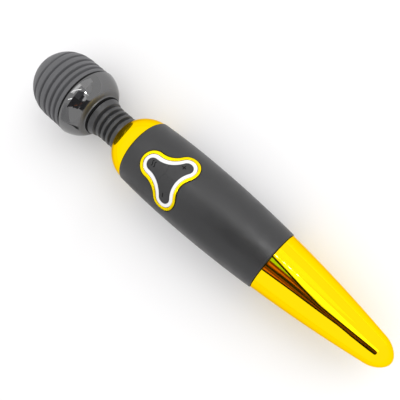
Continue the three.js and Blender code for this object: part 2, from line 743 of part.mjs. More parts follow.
function portPieces() {
  const { length, width, recess, depth, contactRadius, contactDepth, contactSpacing } = port;
  const spots = [-contactSpacing / 2, contactSpacing / 2];
  const plug = cut(slab(stadium(length, width), recess, depth),
    ...spots.map((x) => post(x, 0, -depth, 2 * depth, contactRadius + GAP, 16)));
  const contact = (x) => atPort(post(x, 0, recess / 2, contactDepth, contactRadius, 16));
  return [
    piece('charge_port', 'rubber', atPort(plug)),
    piece('charge_contact_front', 'brass', contact(spots[0])),
    piece('charge_contact_rear', 'brass', contact(spots[1])),
    piece('charge_cable', 'lead', lead(leads.charge)),
  ];
}

// ---------------------------------------------------------------- key pad

const keys = [
  { name: 'mode', lobe: frontLobe },
  { name: 'plus', lobe: plusLobe },
  { name: 'minus', lobe: minusLobe },
];

function keyCaps() {
  const plate = toSolid(bentPlate(trefoil(-GAP / 2), stack.keyBottom, stack.keyTop));
  const blades = keyBlades().map(toSolid);
  const caps = blades.reduce((left, blade) => left.subtract(blade), plate).decompose();
  const middleOf = (solid) => {
    const { min, max } = solid.boundingBox();
    return [(min[0] + max[0]) / 2, (min[1] + max[1]) / 2];
  };
  return keys.map(({ name, lobe }) => {
    const [x, y] = lobe.at;
    const distance = (solid) => {
      const middle = middleOf(solid);
      return Math.hypot(middle[0] - x, middle[1] - y);
    };
    const nearest = [...caps].sort((p, q) => distance(p) - distance(q))[0];
    return piece(`key_${name}`, 'key', toGeometry(nearest));
  });
}

const keySwitch = { half: 2.6, plungerRadius: 1.8 };

function switchPieces() {
  const { half, plungerRadius } = keySwitch;
  return keys.flatMap(({ name, lobe }) => {
    const [x, a] = lobe.at;
    const r = barrelRadius(x);
    const body = cut(box(-half, half, -half, half, r + stack.switchBottom, r + stack.switchTop),
      post(0, 0, r + stack.wellBottom, r, plungerRadius + GAP));
    const plunger = post(0, 0, r + stack.plungerBottom, r + stack.plungerTop, plungerRadius);
    return [
      standing(x, a, piece(`switch_${name}`, 'chip', body)),
      standing(x, a, piece(`switch_plunger_${name}`, 'shell', plunger)),
    ];
  });
}

const led = { halfLength: 1.5, halfWidth: 0.8, height: 1.4, outset: 0.9 };

function ledPieces() {
  const { halfLength, halfWidth, height, outset } = led;
  const reach = pad.sideRadius + outset;
  const spots = [
    ['front', pad.frontLobe[0] - pad.frontRadius - outset, 0],
    ['plus', pad.sideLobe[0], pad.sideLobe[1] + reach],
    ['minus', pad.sideLobe[0], -pad.sideLobe[1] - reach],
  ];
  return spots.map(([name, x, a]) => {
    const foot = barrelRadius(x) + stack.switchBottom;
    const body = box(-halfLength, halfLength, -halfWidth, halfWidth, foot, foot + height);
    return standing(x, a, piece(`led_${name}`, 'light', body));
  });
}

function padPieces() {
  const bezel = bentRing(trefoil(pad.bezel), trefoil(pad.light + GAP),
    stack.bezelBottom, pad.proud);
  const lightRing = bentRing(trefoil(pad.light), trefoil(GAP / 2), stack.lightBottom, stack.lightTop);
  const flex = bentPlate(trefoil(pad.light - GAP), stack.boardBottom, stack.boardTop);
  return [
    piece('pad_bezel', 'gold', bezel),
    piece('light_ring', 'light', lightRing),
    piece('flex_board', 'flex', flex),
    piece('keypad_ribbon', 'flex', lead(leads.keypad)),
    ...keyCaps(), ...switchPieces(), ...ledPieces(),
  ];
}

// ---------------------------------------------------------------- power and control

function powerPieces() {
  const { radius, front, rear, drop, poleRadius, poleLength, cradleWall } = battery;
  const pole = rod(rear - 1, rear + poleLength, poleRadius, SCREW_SIDES);
  const cell = join(rod(front, rear, radius), pole).translate(0, 0, drop);
  const trough = new THREE.Shape()
    .absarc(0, 0, radius + GAP + cradleWall, Math.PI, 2 * Math.PI)
    .absarc(0, 0, radius + GAP, 2 * Math.PI, Math.PI, true);
  const boardTop = board.bottom + board.thickness;
  const chipBottom = boardTop + GAP;
  return [
    piece('battery', 'cell', cell),
    piece('battery_cradle', 'shell', prism(trough, front + 2, rear - 2, 8).translate(0, 0, drop)),
    piece('battery_cable', 'lead', lead(leads.battery)),
    piece('main_board', 'board', box(
      board.front, board.rear, -board.halfWidth, board.halfWidth, board.bottom, boardTop)),
    piece('control_chip', 'chip', box(chip.middle - chip.half, chip.middle + chip.half,
      -chip.half, chip.half, chipBottom, chipBottom + chip.height)),
  ];
}

// ---------------------------------------------------------------- assembly

const wand = new THREE.Group();
wand.position.z = AXIS_Z;
wand.add(
  headCap(), headCore(), headBase(), ...motorPieces(), ...rotorPieces(), ...cradlePieces(),
  ...neckPieces(), frontCollar(), sealRing('seal_front', seals.front),
  housingHalf('housing_upper', 1), housingHalf('housing_lower', -1), ...housingScrews(),
  gripSleeve(), ...padPieces(), ...powerPieces(),
  sealRing('seal_rear', seals.rear), tailCap(), ...portPieces(),
);

export default wand;
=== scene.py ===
"""Looks of a handheld wand massager, built round its CAD frame: shells, ribs, keys and finishes."""

import json
import math

import bmesh
import bpy
from mathutils import Matrix, Vector


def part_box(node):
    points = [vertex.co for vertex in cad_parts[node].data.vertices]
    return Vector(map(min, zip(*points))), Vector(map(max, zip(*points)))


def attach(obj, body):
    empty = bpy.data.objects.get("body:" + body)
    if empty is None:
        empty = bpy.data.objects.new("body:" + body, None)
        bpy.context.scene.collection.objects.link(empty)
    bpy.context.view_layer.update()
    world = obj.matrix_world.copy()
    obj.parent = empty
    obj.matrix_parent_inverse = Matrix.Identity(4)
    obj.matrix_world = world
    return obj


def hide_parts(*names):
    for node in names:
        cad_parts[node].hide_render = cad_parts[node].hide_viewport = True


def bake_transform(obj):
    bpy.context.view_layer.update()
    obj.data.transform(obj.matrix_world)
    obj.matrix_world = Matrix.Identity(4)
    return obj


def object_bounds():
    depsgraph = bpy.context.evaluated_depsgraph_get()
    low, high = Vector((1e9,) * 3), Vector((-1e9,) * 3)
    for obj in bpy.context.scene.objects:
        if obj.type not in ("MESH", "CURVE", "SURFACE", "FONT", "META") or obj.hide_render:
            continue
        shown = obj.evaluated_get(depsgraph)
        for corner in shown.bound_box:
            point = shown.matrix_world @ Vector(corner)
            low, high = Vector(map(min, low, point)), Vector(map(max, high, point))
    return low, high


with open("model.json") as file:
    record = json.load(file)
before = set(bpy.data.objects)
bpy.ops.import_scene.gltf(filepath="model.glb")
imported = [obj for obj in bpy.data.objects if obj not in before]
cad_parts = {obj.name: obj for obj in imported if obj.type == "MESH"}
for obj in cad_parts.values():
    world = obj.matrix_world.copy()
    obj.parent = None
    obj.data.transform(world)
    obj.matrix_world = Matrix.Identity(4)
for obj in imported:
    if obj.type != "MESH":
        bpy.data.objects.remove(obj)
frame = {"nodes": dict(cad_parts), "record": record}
cad_low, cad_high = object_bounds()

# ---------------------------------------------------------------- dimensions, millimetres

MM = 0.001


def span(node):
    """The lowest and highest x of a CAD node, in millimetres."""
    low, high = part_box(node)
    return low.x / MM, high.x / MM


CAP_TIP, CAP_EDGE = span("head_cap")
TAIL_TIP = span("tail_cap")[1]
COLLAR_FRONT = span("front_collar")[0]
SLEEVE_FRONT, SLEEVE_REAR = span("grip_sleeve")
BASE_SPIGOT_END = span("head_base")[1]
AXIS_Z = cad_high.z / MM / 2
GAP = 0.3

CAP_RADIUS, CAP_WALL = 27.5, 2.4
CAP_CENTRE = CAP_TIP + CAP_RADIUS
CAP_PITCH, CAP_PITCH_GROWTH = 4.2, 0.14
CAP_GROOVES = [
    CAP_PITCH * ((1 + CAP_PITCH_GROWTH) ** n - 1) / CAP_PITCH_GROWTH for n in range(1, 6)
]
CAP_GROOVE_DEPTH, CAP_GROOVE_HALF, CAP_CROWN = 2.25, 1.3, 0.3

BASE_RADIUS, BASE_SPIGOT_RADIUS, BASE_WALL = 27.9, 15.9, 2.0
BASE_LIP, BASE_LAND, BASE_FLOOR, BASE_POWER = CAP_EDGE + GAP + 1.45, -116.0, -101.7, 1.4

NECK_RADIUS, NECK_FLARE, NECK_FLARE_LENGTH, NECK_FLARE_POWER = 13.6, 2.5, 9.0, 1.4
NECK_BORE, NECK_FIRST_GROOVE, NECK_PITCH = 11.0, -78.45, 4.87
NECK_GROOVES = [NECK_FIRST_GROOVE - NECK_PITCH * n for n in range(4)]
NECK_GROOVE_DEPTH, NECK_GROOVE_HALF, NECK_CROWN = 2.45, 1.4, 0.35
NECK_SPLIT = -88.19
SPRING_RADIUS, SPRING_WIRE = 9.4, 0.8
CABLE_HALF_WIDTH, CABLE_HALF_HEIGHT, CABLE_CORNER = 1.7, 0.85, 0.55

COLLAR_REAR, COLLAR_RADIUS, COLLAR_REACH, COLLAR_POWER, COLLAR_WALL = -54.9, 24.95, 23.6, 1.8, 1.8
BARREL_RADIUS, BARREL_WIDEST = 26.7, -15.0
BARREL_FRONT_RADIUS, BARREL_REAR_RADIUS, SLEEVE_WALL = 25.4, 23.0, 1.7
TAIL_FRONT, TAIL_RADIUS, TAIL_SLOPE, TAIL_BEND = 67.0, 22.45, 0.0862, 5.55e-4
TAIL_ROUND, TAIL_WALL = 152.0, 1.8
PORT_LENGTH, PORT_WIDTH, CONTACT_ASIDE = 12.0, 6.0, 2.5
ROUND_OVER, ROUND_MIDDLE = 0.5, 0.14

PAD_CENTRE = (-22.0, 0.0)
LOBES = [((-13.0, 13.2), 4.25), ((-33.2, 0.0), 4.55), ((-13.0, -13.2), 4.25)]
HOLLOWS = [17.9, 17.9, 21.7]
KEY_OFFSET, LIGHT_INNER, LIGHT_OFFSET, BEZEL_OFFSET, WINDOW_GAP = -0.12, 0.05, 2.45, 4.6, 0.6
GIRTH_STRETCH = 1.2
KEY_DEPTH, KEY_FACE, KEY_SEAM, LOBE_STEPS = -3.0, 0.1, 0.01, 24

GROOVE_POWER = 1.4
WELD, ON_AXIS = 1e-7, 1e-6


def barrel_radius(x):
    """The sleeve's radius: a shallow bow, widest near the key pad."""
    end, radius = (
        (SLEEVE_FRONT, BARREL_FRONT_RADIUS)
        if x < BARREL_WIDEST
        else (SLEEVE_REAR, BARREL_REAR_RADIUS)
    )
    t = (x - BARREL_WIDEST) / (end - BARREL_WIDEST)
    return BARREL_RADIUS - (BARREL_RADIUS - radius) * t * t


def tail_radius(x):
    """The tail's radius: a taper that bends in to a round tip."""
    run = x - TAIL_FRONT
    taper = TAIL_RADIUS - TAIL_SLOPE * run - TAIL_BEND * run * run
    t = max(0.0, (x - TAIL_ROUND) / (TAIL_TIP - TAIL_ROUND))
    return taper * math.sqrt(max(0.0, 1 - t * t))


def collar_radius(x):
    """The collar's radius: an oval dome that closes in on the neck."""
    t = max(0.0, (COLLAR_REAR - x) / COLLAR_REACH)
    return COLLAR_RADIUS * math.sqrt(max(0.0, 1 - t**COLLAR_POWER))


def base_radius(x, inset=0.0):
    """The base's radius: a bowl from its widest land down to its spigot."""
    t = min(1.0, max(0.0, (x - BASE_LAND) / (BASE_FLOOR - inset - BASE_LAND)))
    rise = BASE_RADIUS - inset - BASE_SPIGOT_RADIUS
    return BASE_SPIGOT_RADIUS + rise * math.sqrt(max(0.0, 1 - t**BASE_POWER))


def neck_crest(x):
    """The radius of the neck's ribs, which flares towards the base."""
    start = BASE_SPIGOT_END + NECK_FLARE_LENGTH
    t = min(1.0, max(0.0, (start - x) / NECK_FLARE_LENGTH))
    return NECK_RADIUS + NECK_FLARE * t**NECK_FLARE_POWER


def dip(distance, half):
    """A smooth groove: 1 at its bottom, 0 from half its width outwards."""
    u = min(1.0, abs(distance) / half)
    return (1 - u * u) ** GROOVE_POWER


def rib_depth(place, first, grooves, depth, half, crown):
    """How far a ribbed skin lies under its crests: crowned bands between smooth grooves."""
    sunk = depth * sum(dip(place - groove, half) for groove in grooves)
    edges = [first, *grooves]
    for a, b in zip(edges, edges[1:]):
        if min(a, b) <= place <= max(a, b):
            sunk = max(sunk, crown * (2 * (place - a) / (b - a) - 1) ** 2)
    return sunk


def spread(start, end, steps):
    """Values from start to end in that many equal steps."""
    return [start + (end - start) * i / steps for i in range(steps + 1)]


# ---------------------------------------------------------------- mesh building


def add_object(name, mesh, material, sharp=40.0):
    """Links a mesh as a piece with one material, smooth apart from edges sharper than that."""
    bm = bmesh.new()
    bm.from_mesh(mesh)
    bmesh.ops.remove_doubles(bm, verts=bm.verts, dist=WELD)
    bmesh.ops.recalc_face_normals(bm, faces=bm.faces)
    bm.to_mesh(mesh)
    bm.free()
    mesh.shade_smooth()
    mesh.set_sharp_from_angle(angle=math.radians(sharp))
    obj = bpy.data.objects.new(name, mesh)
    bpy.context.scene.collection.objects.link(obj)
    obj.data.materials.append(material)
    return obj


def mesh_of(name, points, faces):
    """A mesh from points in millimetres about the wand's axis."""
    mesh = bpy.data.meshes.new(name)
    lifted = [(x * MM, y * MM, (z + AXIS_Z) * MM) for x, y, z in points]
    mesh.from_pydata(lifted, [], faces)
    return mesh


def skin(rows, count, wrap=False):
    """Faces between rows of count points; wrap joins the last row to the first."""
    faces = []
    for row in range(rows if wrap else rows - 1):
        here, there = row * count, (row + 1) % rows * count
        for i in range(count):
            j = (i + 1) % count
            faces.append((here + i, here + j, there + j, there + i))
    return faces


def caps(rows, count):
    """The two end faces of a skin of such rows."""
    return [tuple(range(count)), tuple(range((rows - 1) * count, rows * count))]


def turned(name, profile, material, segments=192):
    """Turns a profile of (x, radius) points round the wand's axis. It starts and ends on the
    axis, or closes on itself."""
    points = []
    for x, r in profile:
        for k in range(segments):
            angle = 2 * math.pi * k / segments
            points.append((x, r * math.sin(angle), r * math.cos(angle)))
    faces = skin(len(profile), segments, wrap=profile[0][1] > ON_AXIS)
    return add_object(name, mesh_of(name, points, faces), material)


def rounded(corners, steps=6):
    """A polyline whose corners (x, r, radius) are replaced by arcs of that radius."""
    result = []
    for i, (x, r, radius) in enumerate(corners):
        here = Vector((x, r))
        if radius == 0 or i in (0, len(corners) - 1):
            result.append((x, r))
            continue
        back = (Vector(corners[i - 1][:2]) - here).normalized()
        ahead = (Vector(corners[i + 1][:2]) - here).normalized()
        half = math.acos(max(-1.0, min(1.0, back.dot(ahead)))) / 2
        reach = radius / math.tan(half)
        start, end = here + back * reach, here + ahead * reach
        for t in spread(0, 1, steps):
            p = start * (1 - t) ** 2 + here * 2 * t * (1 - t) + end * t * t
            result.append((p.x, p.y))
    return result


# ---------------------------------------------------------------- shapes bent round the barrel


def bend(x, a, height):
    """x runs along the axis, a round the girth, and height stands off the sleeve's surface."""
    angle = a / BARREL_RADIUS
    r = barrel_radius(x) + height
    return (x, r * math.sin(angle), r * math.cos(angle))


def hollow_centre(first, second, radius):
    """The centre of the hollow that touches two lobes from outside."""
    (p, p_radius), (q, q_radius) = first, second
    p, q = Vector(p), Vector(q)
    distance = (q - p).length
    a, b = p_radius + radius, q_radius + radius
    along = (a * a - b * b + distance * distance) / (2 * distance)
    aside = math.sqrt(a * a - along * along)
    u = (q - p) / distance
    return p + u * along + Vector((u.y, -u.x)) * aside


def trefoil(offset, steps=20):
    """The pad's outline, growing by offset along the axis and further round the girth."""
    pairs = zip(even_trefoil(0, steps), even_trefoil(offset, steps))
    return [(x, plain + GIRTH_STRETCH * (a - plain)) for (_, plain), (x, a) in pairs]


def even_trefoil(offset, steps):
    """Three lobes joined by hollows, grown by offset, as (x, a) points."""
    centres = [hollow_centre(LOBES[i], LOBES[(i + 1) % 3], HOLLOWS[i]) for i in range(3)]
    turn = 2 * math.pi

    def direction(p, q):
        return math.atan2(q[1] - p[1], q[0] - p[0])

    outline = []
    for i, (at, radius) in enumerate(LOBES):
        start = direction(at, centres[i - 1])
        sweep = (direction(at, centres[i]) - start) % turn
        for t in spread(0, 1, steps)[:-1]:
            angle = start + sweep * t
            reach = radius + offset
            outline.append((at[0] + reach * math.cos(angle), at[1] + reach * math.sin(angle)))
        inward = direction(centres[i], at)
        back = (inward - direction(centres[i], LOBES[(i + 1) % 3][0])) % turn
        for t in spread(0, 1, steps)[:-1]:
            angle = inward - back * t
            reach = HOLLOWS[i] - offset
            outline.append(
                (centres[i][0] + reach * math.cos(angle), centres[i][1] + reach * math.sin(angle))
            )
    return outline


def skinned(name, loops, material, wrap=False):
    """A skin over loops of (x, a, height) points; wrap joins the last loop to the first."""
    points = [bend(*p) for loop in loops for p in loop]
    faces = skin(len(loops), len(loops[0]), wrap)
    return add_object(name, mesh_of(name, points, faces), material)


def ring_piece(name, section, material):
    """A ring whose section is a closed list of (offset from the trefoil, height)."""
    loops = [[(x, a, height) for x, a in trefoil(offset)] for offset, height in section]
    return skinned(name, loops, material, wrap=True)


def plate_loops(outline, centre, low, high, edge=0.0, rings=10):
    """Loops of a plate: out across its top, over a rounded edge, down and back underneath."""

    def pulled(share, inset, height):
        loop = []
        for x, a in outline:
            dx, da = x - centre[0], a - centre[1]
            reach = math.hypot(dx, da)
            scale = share * (1 - inset / reach)
            loop.append((centre[0] + dx * scale, centre[1] + da * scale, height))
        return loop

    top = [pulled(t, edge, high) for t in spread(0.0, 1.0, rings)]
    rim = []
    for angle in spread(0, math.pi / 2, 5)[1:] if edge else []:
        rim.append(pulled(1.0, edge * (1 - math.sin(angle)), high - edge * (1 - math.cos(angle))))
    bottom = [pulled(t, 0.0, low) for t in spread(1.0, 0.0, rings)]
    return top + rim + bottom


# ---------------------------------------------------------------- finishes


class Finish:
    """A node material under construction: a Principled shader and object coordinates."""

    NOISE_LOW, NOISE_HIGH = 0.3, 0.7

    def __init__(self, name, color, roughness, metallic=0.0, **sockets):
        self.material = bpy.data.materials.new(name)
        self.material.use_nodes = True
        self.tree = self.material.node_tree
        self.shader = self.tree.nodes["Principled BSDF"]
        self.shader.inputs["Base Color"].default_value = (*color, 1)
        self.shader.inputs["Roughness"].default_value = roughness
        self.shader.inputs["Metallic"].default_value = metallic
        for socket, value in sockets.items():
            self.shader.inputs[socket.replace("_", " ")].default_value = value
        self.coordinates = self.node("ShaderNodeTexCoord").outputs["Object"]
        self.color, self.roughness = color, roughness

    def node(self, kind, **properties):
        node = self.tree.nodes.new(kind)
        for name, value in properties.items():
            setattr(node, name, value)
        return node

    def link(self, source, target):
        self.tree.links.new(source, target)

    def noise(self, scale, detail=3.0, stretch=(1, 1, 1)):
        """Noise with that many features to the metre, as a 0 to 1 output."""
        mapping = self.node("ShaderNodeMapping")
        mapping.inputs["Scale"].default_value = stretch
        noise = self.node("ShaderNodeTexNoise")
        noise.inputs["Scale"].default_value = scale
        noise.inputs["Detail"].default_value = detail
        self.link(self.coordinates, mapping.inputs["Vector"])
        self.link(mapping.outputs["Vector"], noise.inputs["Vector"])
        return noise.outputs["Fac"]

    def spread_value(self, source, low, high):
        """Maps a noise output's usual range onto low to high."""
        remap = self.node("ShaderNodeMapRange")
        remap.inputs["From Min"].default_value = self.NOISE_LOW
        remap.inputs["From Max"].default_value = self.NOISE_HIGH
        remap.inputs["To Min"].default_value = low
        remap.inputs["To Max"].default_value = high
        self.link(source, remap.inputs["Value"])
        return remap.outputs["Result"]

    def vary_roughness(self, scale, amount, stretch=(1, 1, 1)):
        """Makes the surface rougher and smoother by that amount, in patches."""
        value = self.spread_value(
            self.noise(scale, stretch=stretch), self.roughness - amount, self.roughness + amount
        )
        self.link(value, self.shader.inputs["Roughness"])
        return self

    def vary_color(self, scale, amount, stretch=(1, 1, 1)):
        """Darkens and lightens the colour by that share, in patches."""
        mix = self.node("ShaderNodeMix", data_type="RGBA")
        mix.inputs["A"].default_value = (*(c * (1 - amount) for c in self.color), 1)
        mix.inputs["B"].default_value = (*(min(1.0, c * (1 + amount)) for c in self.color), 1)
        self.link(self.spread_value(self.noise(scale, stretch=stretch), 0, 1), mix.inputs["Factor"])
        self.link(mix.outputs["Result"], self.shader.inputs["Base Color"])
        return self

    def bump(self, scale, height, detail=3.0, stretch=(1, 1, 1)):
        """Fine relief of that height in millimetres."""
        bump = self.node("ShaderNodeBump")
        bump.inputs["Strength"].default_value = 1.0
        bump.inputs["Distance"].default_value = height * MM
        self.link(self.noise(scale, detail, stretch), bump.inputs["Height"])
        self.link(bump.outputs["Normal"], self.shader.inputs["Normal"])
        return self

    def satin_shoulder(self, start, end, roughness):
        """Turns the gloss to satin between two places along the wand."""
        axes = self.node("ShaderNodeSeparateXYZ")
        self.link(self.coordinates, axes.inputs["Vector"])
        remap = self.node("ShaderNodeMapRange", interpolation_type="SMOOTHSTEP")
        remap.inputs["From Min"].default_value = start * MM
        remap.inputs["From Max"].default_value = end * MM
        remap.inputs["To Min"].default_value = self.roughness
        remap.inputs["To Max"].default_value = roughness
        self.link(axes.outputs["X"], remap.inputs["Value"])
        self.link(remap.outputs["Result"], self.shader.inputs["Roughness"])


def glow(strength):
    """The sockets of a finish that sends out white light."""
    return {"Emission_Color": (1, 1, 1, 1), "Emission_Strength": strength}


def gold():
    """Bright plating of the collar and the tail."""
    finish = Finish(
        "gold_plating", (1.0, 0.69, 0.003), 0.035, 1.0, Specular_Tint=(1.0, 0.72, 0.25, 1.0)
    )
    return finish.vary_roughness(60, 0.012).vary_color(25, 0.015).bump(60, 0.006).material


def bezel_gold():
    """Softer plating of the key pad's bezel."""
    finish = Finish(
        "bezel_plating", (1.0, 0.75, 0.004), 0.24, 1.0, Specular_Tint=(1.0, 0.85, 0.25, 1.0)
    )
    return finish.vary_roughness(60, 0.02).vary_color(25, 0.015).material


def grip_silicone():
    finish = Finish("grip_silicone", (0.0235, 0.0235, 0.0245), 0.42, Specular_IOR_Level=0.46)
    return finish.vary_roughness(90, 0.06).vary_color(40, 0.06).bump(2600, 0.012).material


def head_silicone():
    finish = Finish("head_silicone", (0.092, 0.092, 0.097), 0.5, Specular_IOR_Level=0.4)
    return finish.vary_roughness(120, 0.06).vary_color(60, 0.07).bump(2200, 0.012).material


def gloss_black():
    """Deep gloss of the head's base, satin where the bowl meets its spigot."""
    satin_start, satin_end = BASE_FLOOR - 2.2, BASE_FLOOR - 0.7
    finish = Finish("gloss_black", (0.012, 0.012, 0.013), 0.05, IOR=2.15)
    finish.vary_color(50, 0.2).bump(90, 0.004)
    finish.satin_shoulder(satin_start, satin_end, 0.42)
    return finish.material


def neck_rubber():
    finish = Finish("neck_rubber", (0.027, 0.027, 0.0285), 0.38, Specular_IOR_Level=0.62)
    return finish.vary_roughness(200, 0.08).vary_color(90, 0.15).bump(1800, 0.01).material


def key_plastic():
    finish = Finish("key_plastic", (0.03, 0.03, 0.031), 0.5, Specular_IOR_Level=0.35)
    return finish.vary_roughness(150, 0.06).vary_color(120, 0.08).bump(2400, 0.008).material


def mark_ink():
    finish = Finish("key_mark", (0.002, 0.002, 0.002), 0.6, Specular_IOR_Level=0.05)
    return finish.vary_roughness(400, 0.08).material


def light_diffuser():
    finish = Finish("light_diffuser", (0.72, 0.72, 0.72), 0.4, **glow(0.06))
    return finish.vary_color(220, 0.02).bump(1500, 0.004).material


def moulded_black():
    finish = Finish("moulded_black", (0.02, 0.02, 0.021), 0.5)
    return finish.vary_roughness(300, 0.1).vary_color(120, 0.2).bump(1800, 0.01).material


# Black rubber of the charge port's plug; on the seam rings the same black finish is painted shade.
def black_rubber_and_seam_shade():
    finish = Finish("black_rubber_and_seam_shade", (0.005, 0.005, 0.005), 0.7, Specular_IOR_Level=0.1)
    return finish.vary_color(300, 0.3).bump(900, 0.02).material


def bright_steel():
    finish = Finish("bright_steel", (0.6, 0.61, 0.63), 0.25, 1.0)
    finish.vary_roughness(500, 0.08, (1, 8, 8))
    return finish.bump(600, 0.003, stretch=(1, 12, 12)).material


def contact_brass():
    return Finish("contact_brass", (0.8, 0.56, 0.2), 0.22, 1.0).vary_roughness(900, 0.08).material


def ferrite():
    finish = Finish("ferrite", (0.06, 0.06, 0.065), 0.65)
    return finish.vary_color(700, 0.3).bump(1500, 0.02).material


def winding_copper():
    finish = Finish("winding_copper", (0.55, 0.2, 0.07), 0.35, 1.0)
    return finish.bump(250, 0.2, stretch=(0.2, 6, 6)).vary_color(400, 0.2).material


def solder_mask():
    finish = Finish("solder_mask", (0.012, 0.1, 0.035), 0.4)
    return finish.vary_color(500, 0.25).bump(700, 0.01).material


def polyimide():
    finish = Finish("polyimide", (0.5, 0.2, 0.02), 0.35)
    return finish.vary_color(300, 0.15).bump(500, 0.01).material


def chip_epoxy():
    finish = Finish("chip_epoxy", (0.012, 0.012, 0.013), 0.5)
    return finish.vary_roughness(900, 0.1).bump(2500, 0.01).material


def shrink_wrap():
    finish = Finish("shrink_wrap", (0.03, 0.14, 0.4), 0.3)
    return finish.vary_roughness(200, 0.08).bump(120, 0.03).material


def lead_jacket():
    finish = Finish("lead_jacket", (0.35, 0.02, 0.02), 0.45)
    return finish.vary_color(400, 0.15).bump(1200, 0.01).material


def diode_lens():
    return Finish("diode_lens", (0.85, 0.85, 0.78), 0.2).vary_color(900, 0.05).material


FINISHES = {
    "gold": gold(),
    "bezel_gold": bezel_gold(),
    "silicone": grip_silicone(),
    "head_silicone": head_silicone(),
    "gloss_black": gloss_black(),
    "bellows_rubber": neck_rubber(),
    "key_grey": key_plastic(),
    "light_white": light_diffuser(),
    "inner_shell": moulded_black(),
    # The seal_black finish is also used for the painted shade of the seam rings.
    "seal_black": black_rubber_and_seam_shade(),
    "steel": bright_steel(),
    "brass": contact_brass(),
    "magnet": ferrite(),
    "copper": winding_copper(),
    "board_green": solder_mask(),
    "flex_amber": polyimide(),
    "chip_black": chip_epoxy(),
    "cell_blue": shrink_wrap(),
    "lead_red": lead_jacket(),
    "led_white": diode_lens(),
}


def paint_carried_nodes():
    """Gives every CAD node that stays the finish of its slot."""
    for part in frame["record"]["subparts"]:
        mesh = frame["nodes"][part["node"]].data
        mesh.materials.clear()
        mesh.materials.append(FINISHES[part["material_slot"]])


def place(piece, body, slot, *nodes):
    """Rides a piece on its body, standing for its CAD nodes. The slot is not used."""
    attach(piece, body)
    if nodes:
        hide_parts(*nodes)
    return piece


# ---------------------------------------------------------------- head


def cap_point(s, depth):
    """A point on the cap's outline, s from its open edge, sunk by depth."""
    straight = CAP_EDGE - CAP_CENTRE
    r = CAP_RADIUS - depth
    if s < straight:
        return (CAP_EDGE - s, r)
    angle = (s - straight) / CAP_RADIUS
    return (CAP_CENTRE - r * math.sin(angle), r * math.cos(angle))


def head_cap():
    """Ribbed silicone cap: five grooves, gently rounded bands between, a half-ball end."""
    end = CAP_EDGE - CAP_CENTRE + CAP_RADIUS * math.pi / 2
    edge_length, edge_depth = 0.4, 0.3
    outside = []
    for s in spread(0.0, end, 420):
        edge = edge_depth * (1 - min(1.0, s / edge_length)) ** 2
        ribs = rib_depth(s, 0.0, CAP_GROOVES, CAP_GROOVE_DEPTH, CAP_GROOVE_HALF, CAP_CROWN)
        outside.append(cap_point(s, edge + ribs))
    outside[-1] = (CAP_TIP, 0.0)
    inside = [cap_point(s, CAP_WALL) for s in spread(0.0, end, 60)]
    inside[-1] = (CAP_TIP + CAP_WALL, 0.0)
    profile = [*reversed(outside), *inside]
    piece = turned("ribbed_head_cap", profile, FINISHES["head_silicone"])
    place(piece, "head", "head_silicone", "head_cap")


def head_base():
    """Glossy bowl under the cap, with a bead where its spigot meets the neck."""
    reach, lip_middle = BASE_FLOOR - BASE_LAND, 0.15
    bore = BASE_SPIGOT_RADIUS - BASE_WALL
    outer = [BASE_LAND + reach * math.sin(t) for t in spread(0, 1.4, 60)]
    inner = [BASE_LAND + (reach - BASE_WALL) * math.sin(t) for t in spread(1.5, 0, 30)]
    lip = [(BASE_LIP, BASE_RADIUS - ROUND_OVER), (BASE_LIP + lip_middle, BASE_RADIUS - lip_middle)]
    bowl = [*lip, *((x, base_radius(x)) for x in (BASE_LIP + ROUND_OVER, *outer))]
    spigot = rounded([
        (*bowl[-1], 0), (BASE_FLOOR + 0.3, BASE_SPIGOT_RADIUS + 0.25, 1.0),
        (BASE_SPIGOT_END, BASE_SPIGOT_RADIUS, 0.6), (BASE_SPIGOT_END, bore, 0.3),
        (BASE_FLOOR - BASE_WALL, bore, 0),
    ])
    inside = [(x, base_radius(x, BASE_WALL)) for x in (*inner, BASE_LIP)]
    piece = turned("glossy_head_base", [*bowl, *spigot[1:], *inside], FINISHES["gloss_black"])
    place(piece, "head", "gloss_black", "head_base")


def seam_shade_rings():
    """Black rings of painted shade in the seams at both ends of the head's base; their black stands
    in for the shadow in the gaps.
    """
    start, end, bottom, top = CAP_EDGE + 0.02, BASE_LIP + 0.5, 25.7, 27.15
    seam = [(start, bottom), (start, top), (end, top), (end, bottom)]
    # Painted shade: a black ring that darkens the seam between the cap and the base.
    place(turned("head_seam_shade_ring", seam, FINISHES["seal_black"]), "head", "seal_black")
    start, end, bottom = BASE_SPIGOT_END - 1.7, BASE_SPIGOT_END + 0.15, BASE_SPIGOT_RADIUS - 0.5
    front_top, rear_top, corner = BASE_SPIGOT_RADIUS + 0.4, BASE_SPIGOT_RADIUS + 0.5, 0.25
    seam = rounded([
        (start, bottom, 0), (start, front_top, corner), (end, rear_top, corner), (end, bottom, 0),
    ])
    # Painted shade: a black ring that darkens the seam where the spigot meets the neck.
    place(turned("neck_seam_shade_ring", seam, FINISHES["seal_black"]), "head", "seal_black")


# ---------------------------------------------------------------- neck


def bellows_outline(start, end, steps):
    """The ribbed outside of the neck between two places along the wand."""
    first, ribs = NECK_FIRST_GROOVE + NECK_PITCH, (NECK_GROOVE_DEPTH, NECK_GROOVE_HALF, NECK_CROWN)
    return [(x, neck_crest(x) - rib_depth(x, first, NECK_GROOVES, *ribs))
            for x in spread(start, end, steps)]


